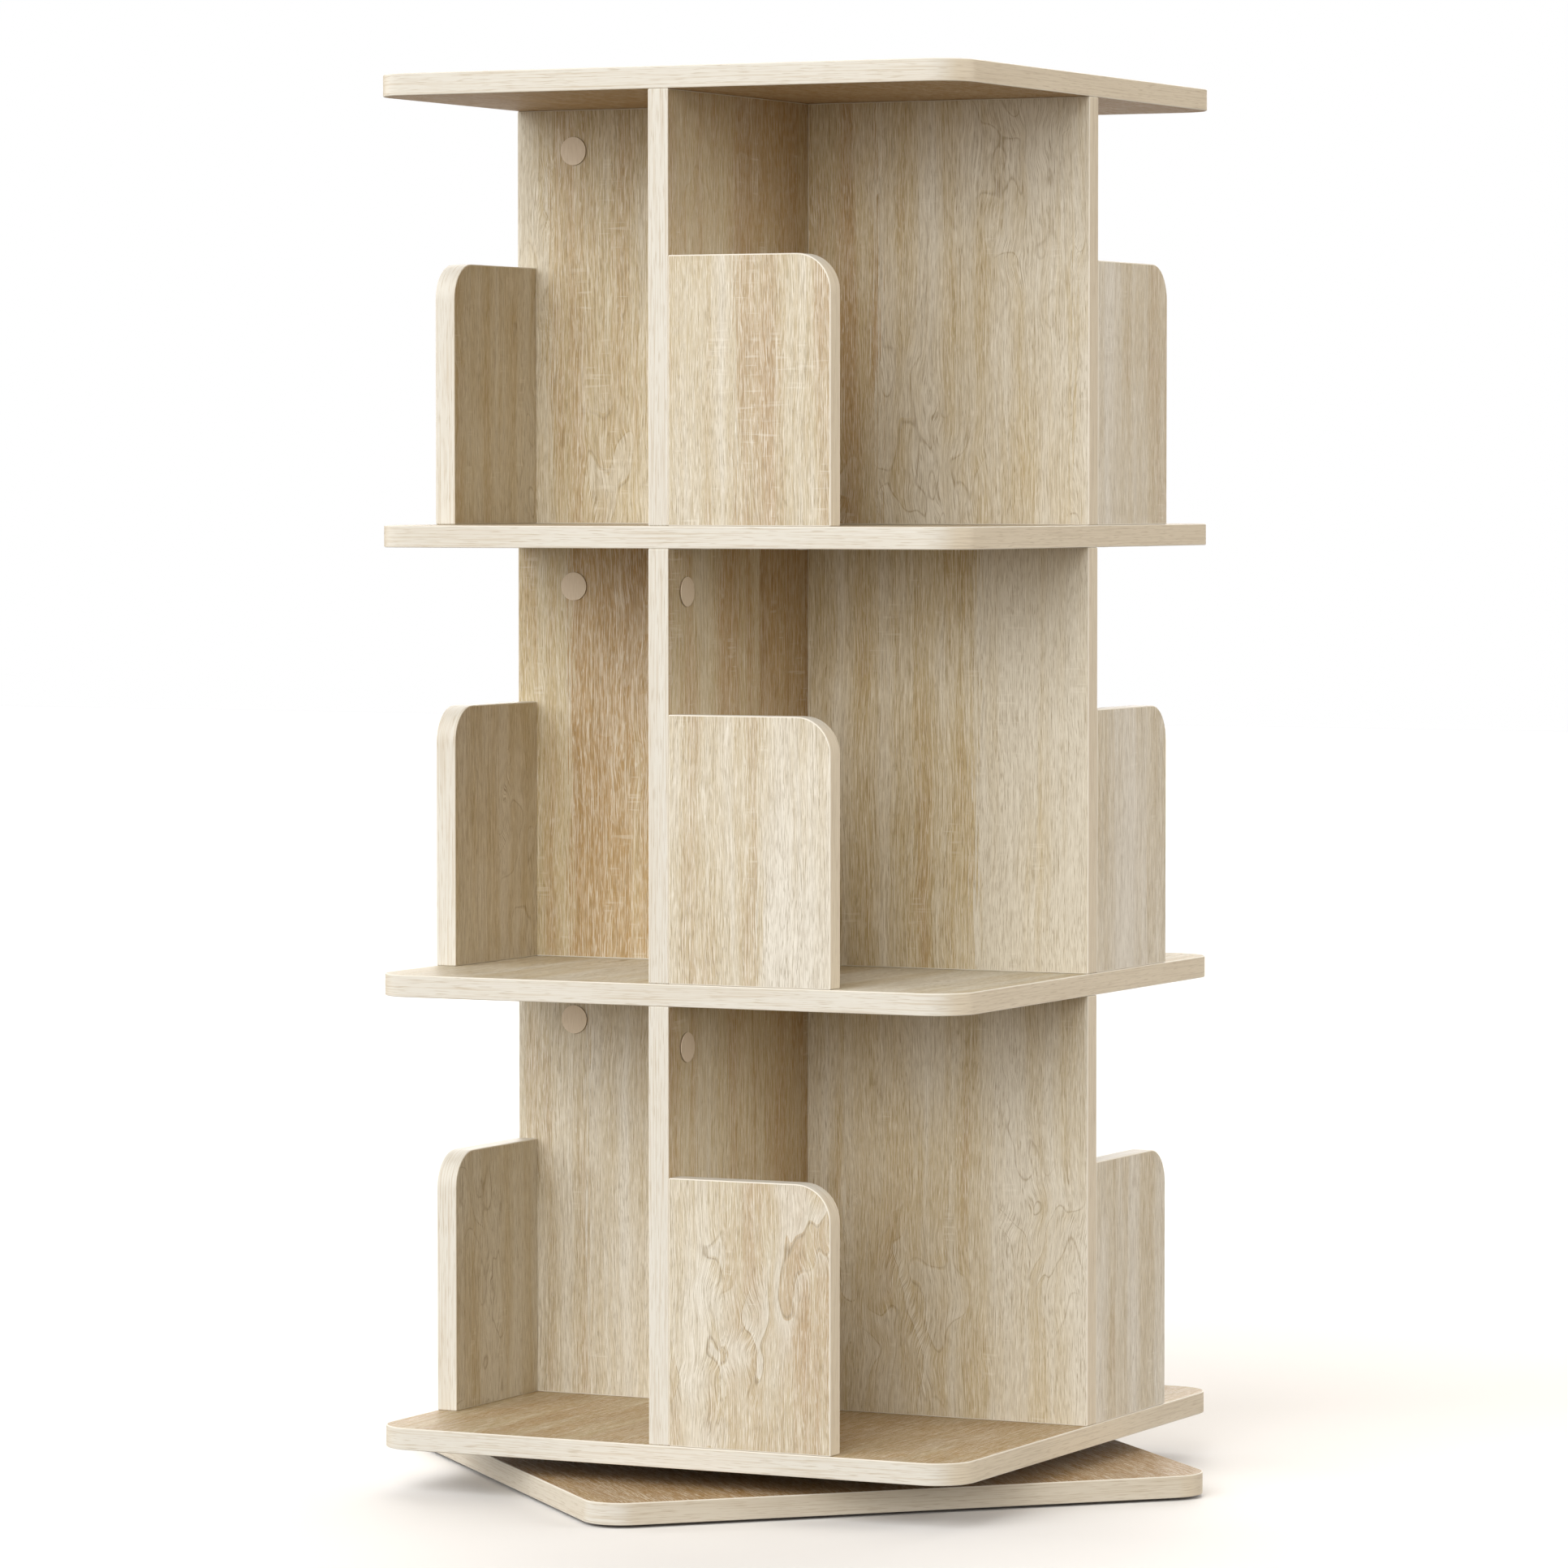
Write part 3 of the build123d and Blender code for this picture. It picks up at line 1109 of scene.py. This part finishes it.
@dataclass
class CamCaps:
    """The thin round caps over the cam locks, four to a tier, with softened rims whose dark finish is partly
    raw edge, partly painted contact shadow.
    """

    foil: bpy.types.Material
    rim_edge_and_shadow_finish: bpy.types.Material
    hardware: Hardware
    radius: float = 0.010
    thickness: float = 0.0012
    rim: float = 0.0003
    rim_steps: int = 4
    rim_slope: float = 0.00005
    undercut: float = 0.0005
    steps: int = 72

    def back_profile(self) -> list[Point]:
        """List the profile of the cap's back and its cut rim, which stands a little off the panel."""
        foot = self.radius - self.undercut
        return [(0.0, 0.0), (foot, 0.0), (foot, self.rim), (self.radius, self.rim + self.rim_slope),
                (self.radius, self.thickness - self.rim)]

    def face_profile(self) -> list[Point]:
        """List the profile of the cap's rounded face, from its rim to the middle."""
        arc = [math.radians(90 * step / self.rim_steps) for step in range(self.rim_steps + 1)]
        inner = self.radius - self.rim
        lower = self.thickness - self.rim
        edge = [(inner + self.rim * math.cos(a), lower + self.rim * math.sin(a)) for a in arc]
        return [*edge, (0.0, self.thickness)]

    def places(self, tier: Tier) -> list[Matrix]:
        """Find where the caps of a tier sit: two on the spine and one on each wing.

        Args:
            tier: the tier.

        Returns:
            The placing matrices, with the third axis out of the panel's face.
        """
        low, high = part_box(f"{tier.value}_cam_caps")
        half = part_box(f"{tier.value}_spine_panel")[1].x
        height = (low.z + high.z) / 2
        reach_x = high.x - self.radius
        reach_y = high.y - self.radius
        face = -1 if tier is Tier.UPPER else 1
        spots = [(Vector((face * half, y, height)), Vector((0, face, 0))) for y in (-reach_y, reach_y)]
        spots += [(Vector((way * reach_x, way * half, height)), Vector((-way, 0, 0))) for way in (1, -1)]
        return [axes(origin, across, UP) for origin, across in spots]

    def build(self) -> None:
        """Build the caps of every tier and dress the cam locks behind them."""
        finishes = [self.foil, self.rim_edge_and_shadow_finish]
        for tier in Tier:
            mesh = bmesh.new()
            grain = mesh.loops.layers.uv.new(GRAIN_MAP)
            for place in self.places(tier):
                for finish, profile in enumerate((self.face_profile(), self.back_profile())):
                    lathe(mesh, profile, self.steps, place, grain, finish)
            bmesh.ops.remove_doubles(mesh, verts=mesh.verts, dist=WELD_DISTANCE)
            node = f"{tier.value}_cam_caps"
            piece = add_piece(node + "_look", mesh, finishes, Body.TOWER, Slot.CAP, node)
            piece.modifiers.new("even_shading", "WEIGHTED_NORMAL")
            self.hardware.dress(f"{tier.value}_cam_locks", Slot.ZINC)


@dataclass(frozen=True)
class ScrewHead:
    """The form of a screw head: its height, its recess's depth as a share of it, and its profile.

    The profile gives shares of the head's radius and height.
    """

    height: float
    depth: float
    profile: tuple[Point, ...]


class Head(Enum):
    """The two screw heads: domed on the turntable plates, flat in the undersides of the boards."""

    DOMED = ScrewHead(height=0.0023, depth=0.7, profile=(
        (0.0, 0.0), (1.0, 0.0), (1.0, 0.30), (0.97, 0.62), (0.88, 0.88), (0.74, 1.0)))
    FLAT = ScrewHead(height=0.0002, depth=0.8, profile=(
        (0.0, 0.0), (1.0, 0.0), (1.0, 0.55), (0.97, 1.0)))


@dataclass
class Screws:
    """Cross-headed screws. The arms of the recess are shares of the head's radius."""

    hardware: Hardware
    radius: float = 0.0042
    steps: int = 40
    arm_reach: float = 0.56
    arm_half_width: float = 0.13
    recess_taper: float = 0.7

    def add_head(self, mesh: bmesh.types.BMesh, place: Matrix, head: ScrewHead) -> None:
        """Add one screw head with its cross recess.

        Args:
            mesh: the mesh to add to.
            place: the matrix that places the head, with the third axis out of the seat.
            head: the form of the head.
        """
        top = head.height
        lathe(mesh, [(self.radius * wide, top * tall) for wide, tall in head.profile], self.steps, place)
        mesh.verts.ensure_lookup_table()
        rim = list(mesh.verts)[-self.steps:]
        arm = self.arm_reach * self.radius
        half = self.arm_half_width * self.radius
        cross = ((half, half), (half, arm), (-half, arm), (-half, half), (-arm, half), (-arm, -half),
                 (-half, -half), (-half, -arm), (half, -arm), (half, -half), (arm, -half), (arm, half))
        taper = self.recess_taper
        low = top - head.depth * top
        mouth = [mesh.verts.new(place @ Vector((x, y, top))) for x, y in cross]
        floor = [mesh.verts.new(place @ Vector((taper * x, taper * y, low))) for x, y in cross]
        loops = []
        for ring in (rim, mouth):
            for first, second in zip(ring, ring[1:] + ring[:1]):
                loops.append(mesh.edges.get((first, second)) or mesh.edges.new((first, second)))
        bmesh.ops.triangle_fill(mesh, use_beauty=True, use_dissolve=False, edges=loops)
        for index in range(len(cross)):
            after = (index + 1) % len(cross)
            mesh.faces.new((mouth[index], mouth[after], floor[after], floor[index]))
        mesh.faces.new(floor)

    def build(self, name: str, places: list[Matrix], head: Head, body: Body) -> None:
        """Build a set of screws as one piece.

        Args:
            name: the piece's name.
            places: where each head sits.
            head: the kind of head.
            body: the body that they ride on.
        """
        mesh = bmesh.new()
        for place in places:
            self.add_head(mesh, place, head.value)
        add_piece(name, mesh, [self.hardware.by_slot[Slot.RIVET]], body, Slot.RIVET)


@dataclass
class Turntable:
    """The bearing between base and tower: two pressed plates on a rivet, a ring of balls between them."""

    hardware: Hardware
    screws: Screws
    ball_count: int = 18
    ball_radius: float = 0.0041
    ball_steps: int = 24
    race_inset: float = 0.008
    cage_half_height: float = 0.0026
    cage_edge: float = 0.0009
    cage_steps: int = 120
    bore_share: float = 0.86
    lip: float = 0.0011
    lip_height: float = 0.0007
    lip_shoulder: float = 0.0005
    lip_skirt: float = 0.0004
    plate_thickness: float = 0.002
    screw_reach: float = 0.058
    screw_turn: float = 0.4

    def dress(self) -> None:
        """Give the carried-over plates, rivet and pads their finishes."""
        self.hardware.dress("turntable_lower_plate", Slot.PLATE)
        self.hardware.dress("turntable_upper_plate", Slot.PLATE)
        self.hardware.dress("turntable_rivet", Slot.RIVET)
        self.hardware.dress("foot_pads", Slot.FELT)

    def sphere(self) -> list[Point]:
        """List the profile of a ball from pole to pole."""
        rows = self.ball_steps // 2
        arc = [math.pi * step / rows - math.pi / 2 for step in range(1, rows)]
        between = [(self.ball_radius * math.cos(a), self.ball_radius * math.sin(a)) for a in arc]
        return [(0.0, -self.ball_radius), *between, (0.0, self.ball_radius)]

    def collar(self) -> list[Point]:
        """List the profile of the lip that holds a ball in the cage."""
        bore = self.ball_radius * self.bore_share
        rim = bore + self.lip
        return [(bore, 0.0), (bore, self.lip_height), (rim, self.lip_shoulder), (rim + self.lip_skirt, 0.0)]

    def ring(self) -> None:
        """Build the nylon cage and the steel balls that it carries."""
        low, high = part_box("turntable_ball_ring")
        middle = (low.z + high.z) / 2
        outer = high.x
        race = outer - self.race_inset
        inner = 2 * race - outer
        half, edge = self.cage_half_height, self.cage_edge
        section = [(inner, -half + edge), (inner + edge, -half), (outer - edge, -half), (outer, -half + edge),
                   (outer, half - edge), (outer - edge, half), (inner + edge, half), (inner, half - edge)]
        cage = bmesh.new()
        lathe(cage, section + section[:1], self.cage_steps, Matrix.Translation((0.0, 0.0, middle)))
        balls = bmesh.new()
        for number in range(self.ball_count):
            angle = math.tau * number / self.ball_count
            centre = Vector((race * math.cos(angle), race * math.sin(angle), middle))
            lathe(balls, self.sphere(), self.ball_steps, Matrix.Translation(centre))
            lathe(cage, self.collar(), self.ball_steps, Matrix.Translation(centre + half * UP))
            lathe(cage, self.collar(), self.ball_steps, Matrix.Translation(centre - half * UP) @ UPSIDE_DOWN)
        bmesh.ops.remove_doubles(cage, verts=cage.verts, dist=WELD_DISTANCE)
        nylon = self.hardware.by_slot[Slot.NYLON]
        steel = self.hardware.by_slot[Slot.RIVET]
        piece = add_piece("turntable_ball_cage", cage, [nylon], Body.BALL_RING, Slot.NYLON,
                          "turntable_ball_ring")
        piece.modifiers.new("even_shading", "WEIGHTED_NORMAL")
        add_piece("turntable_balls", balls, [steel], Body.BALL_RING, Slot.RIVET)

    def plate_screws(self) -> None:
        """Screw the lower plate to the base and the upper plate to the bottom board."""
        on_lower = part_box("turntable_lower_plate")[0].z + self.plate_thickness
        under_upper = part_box("turntable_upper_plate")[1].z - self.plate_thickness
        reach = self.screw_reach
        diagonal = reach * math.sqrt(2)
        corners = ((diagonal, 0), (0, diagonal), (-diagonal, 0), (0, -diagonal))
        on_base = [Matrix.Translation((x, y, on_lower)) @ Matrix.Rotation(self.screw_turn * number, 4, "Z")
                   for number, (x, y) in enumerate(corners)]
        under_tower = [Matrix.Translation((x, y, under_upper)) @ UPSIDE_DOWN
                       for x in (-reach, reach) for y in (-reach, reach)]
        self.screws.build("lower_plate_screws", on_base, Head.DOMED, Body.BASE)
        self.screws.build("upper_plate_screws", under_tower, Head.DOMED, Body.TOWER)

    def build(self) -> None:
        """Dress and complete the turntable."""
        self.dress()
        self.ring()
        self.plate_screws()


@dataclass
class BoardScrews:
    """The flat screws that hold the book stops and the lowest uprights, in the undersides of the boards."""

    screws: Screws
    stop_spacing: float = 0.035
    upright_reach: Point = (0.110, 0.190)
    screw_turn: float = 1.1

    def spots(self, tier: Tier) -> list[Vector]:
        """Find where the screws of a tier sit, seen from above.

        Args:
            tier: the tier that they hold.

        Returns:
            The spots.
        """
        found = []
        for side in Side:
            low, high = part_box(f"{tier.value}_{side.name.lower()}_stop")
            middle = (low + high) / 2
            length = Vector((1, 0)) if high.x - low.x > high.y - low.y else Vector((0, 1))
            found += [middle.xy + length * self.stop_spacing * way for way in (-1, 1)]
        if tier is Tier.LOWER:
            for reach in self.upright_reach:
                found += [Vector((0, reach)), Vector((0, -reach)), Vector((reach, 0)), Vector((-reach, 0))]
        return found

    def build(self) -> None:
        """Set the screws under the bottom board and the two shelves."""
        seats = {Tier.LOWER: "bottom_board", Tier.MIDDLE: "lower_shelf", Tier.UPPER: "upper_shelf"}
        for tier, board in seats.items():
            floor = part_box(board)[0].z
            places = [Matrix.Translation((x, y, floor)) @ Matrix.Rotation(self.screw_turn * number, 4, "Z")
                      @ UPSIDE_DOWN for number, (x, y) in enumerate(self.spots(tier))]
            self.screws.build(f"{board}_screws", places, Head.FLAT, Body.TOWER)


@dataclass(frozen=True)
class SoftLight:
    """A soft light that falls evenly over the whole stage.

    Bearing, height and spread are in degrees. The bearing is 0 from the front and 90 from the right, the
    height is above the floor's plane, and the spread softens the shadows. The strength is in watts per
    square metre.
    """

    name: str
    bearing: float
    height: float
    spread: float
    strength: float
    color: tuple[float, float, float]

    def build(self) -> None:
        """Add the light to the scene."""
        data = bpy.data.lights.new(self.name, "SUN")
        data.angle = math.radians(self.spread)
        data.energy = self.strength
        data.color = self.color
        light = put(self.name, data)
        light.rotation_euler = (math.radians(90 - self.height), 0.0, math.radians(self.bearing))


@dataclass
class Stage:
    """The plain pale floor, the soft light and the camera at the photograph's viewing angle."""

    floor_half: float = 14.0
    floor_color: Color = (0.86, 0.855, 0.845, 1.0)
    floor_bounce: Color = (0.15, 0.115, 0.08, 1.0)
    floor_roughness: float = 0.7
    floor_specular: float = 0.15
    lights: tuple[SoftLight, ...] = (
        SoftLight("key", -11.0, 29.0, 70.0, 3.3, (0.965, 0.985, 1.0)),
        SoftLight("fill", 20.0, 6.0, 60.0, 1.1, (1.0, 0.92, 0.80)),
        SoftLight("side", 115.0, 16.0, 50.0, 2.1, (1.0, 0.99, 0.975)),
        SoftLight("back", 200.0, 28.0, 60.0, 2.5, (1.0, 0.985, 0.96)),
        SoftLight("left", 268.0, 14.0, 40.0, 1.3, (1.0, 0.985, 0.96)),
    )
    shown_color: Color = (1.0, 1.0, 1.0, 1.0)
    shown_strength: float = 1.0
    glow_color: Color = (1.0, 0.66, 0.36, 1.0)
    glow_strength: float = 0.15
    camera_place: tuple[float, float, float] = (2.1329, -4.3841, 0.6879)
    camera_yaw: float = 0.45543
    camera_pitch: float = -0.04267
    lens: float = 161.235
    sensor: float = 36.0
    sight: float = 100.0

    def floor(self) -> None:
        """Lay the floor, which throws back less light than it shows."""
        data = bpy.data.meshes.new("floor")
        half = self.floor_half
        corners = [(-half, -half, 0), (half, -half, 0), (half, half, 0), (-half, half, 0)]
        data.from_pydata(corners, [], [(0, 1, 2, 3)])
        material, graph, shader = start_material("pale_floor")
        ray = graph.add("ShaderNodeLightPath")
        color = graph.mix(ray.outputs["Is Diffuse Ray"], self.floor_color, self.floor_bounce)
        graph.feed(shader.inputs["Base Color"], color)
        shader.inputs["Roughness"].default_value = self.floor_roughness
        shader.inputs["Specular IOR Level"].default_value = self.floor_specular
        data.materials.append(material)
        floor = put("floor", data)

    def surround(self) -> None:
        """Show the camera a white surround, and light the stage with a dim, warm one."""
        world = bpy.data.worlds.new("surround")
        world.use_nodes = True
        bpy.context.scene.world = world
        graph = Graph(world.node_tree)
        shown = world.node_tree.nodes["Background"]
        shown.inputs["Color"].default_value = self.shown_color
        shown.inputs["Strength"].default_value = self.shown_strength
        glow = graph.add("ShaderNodeBackground")
        glow.inputs["Color"].default_value = self.glow_color
        glow.inputs["Strength"].default_value = self.glow_strength
        ray = graph.add("ShaderNodeLightPath")
        choice = graph.add("ShaderNodeMixShader")
        graph.feed(choice.inputs[0], ray.outputs["Is Camera Ray"])
        graph.feed(choice.inputs[1], glow.outputs[0])
        graph.feed(choice.inputs[2], shown.outputs[0])
        graph.feed(world.node_tree.nodes["World Output"].inputs["Surface"], choice.outputs[0])

    def camera(self) -> None:
        """Set the camera where the photograph was taken from."""
        data = bpy.data.cameras.new("camera")
        data.lens = self.lens
        data.sensor_width = self.sensor
        data.clip_end = self.sight
        camera = put("camera", data)
        camera.location = self.camera_place
        camera.rotation_euler = (math.pi / 2 + self.camera_pitch, 0.0, self.camera_yaw)
        bpy.context.scene.camera = camera

    def build(self) -> None:
        """Set the whole stage."""
        self.floor()
        for light in self.lights:
            light.build()
        self.surround()
        self.camera()
        bpy.context.scene.view_settings.view_transform = "Standard"


def main() -> None:
    """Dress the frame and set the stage."""
    logging.basicConfig(level=logging.INFO, format="%(message)s")
    laminate = Laminate()
    hardware = Hardware()
    screws = Screws(hardware)
    Tower(laminate).build()
    CamCaps(laminate.cap, laminate.cap_rim_edge_and_shadow, hardware).build()
    Turntable(hardware, screws).build()
    BoardScrews(screws).build()
    Stage().build()


if __name__ == "__main__":
    main()
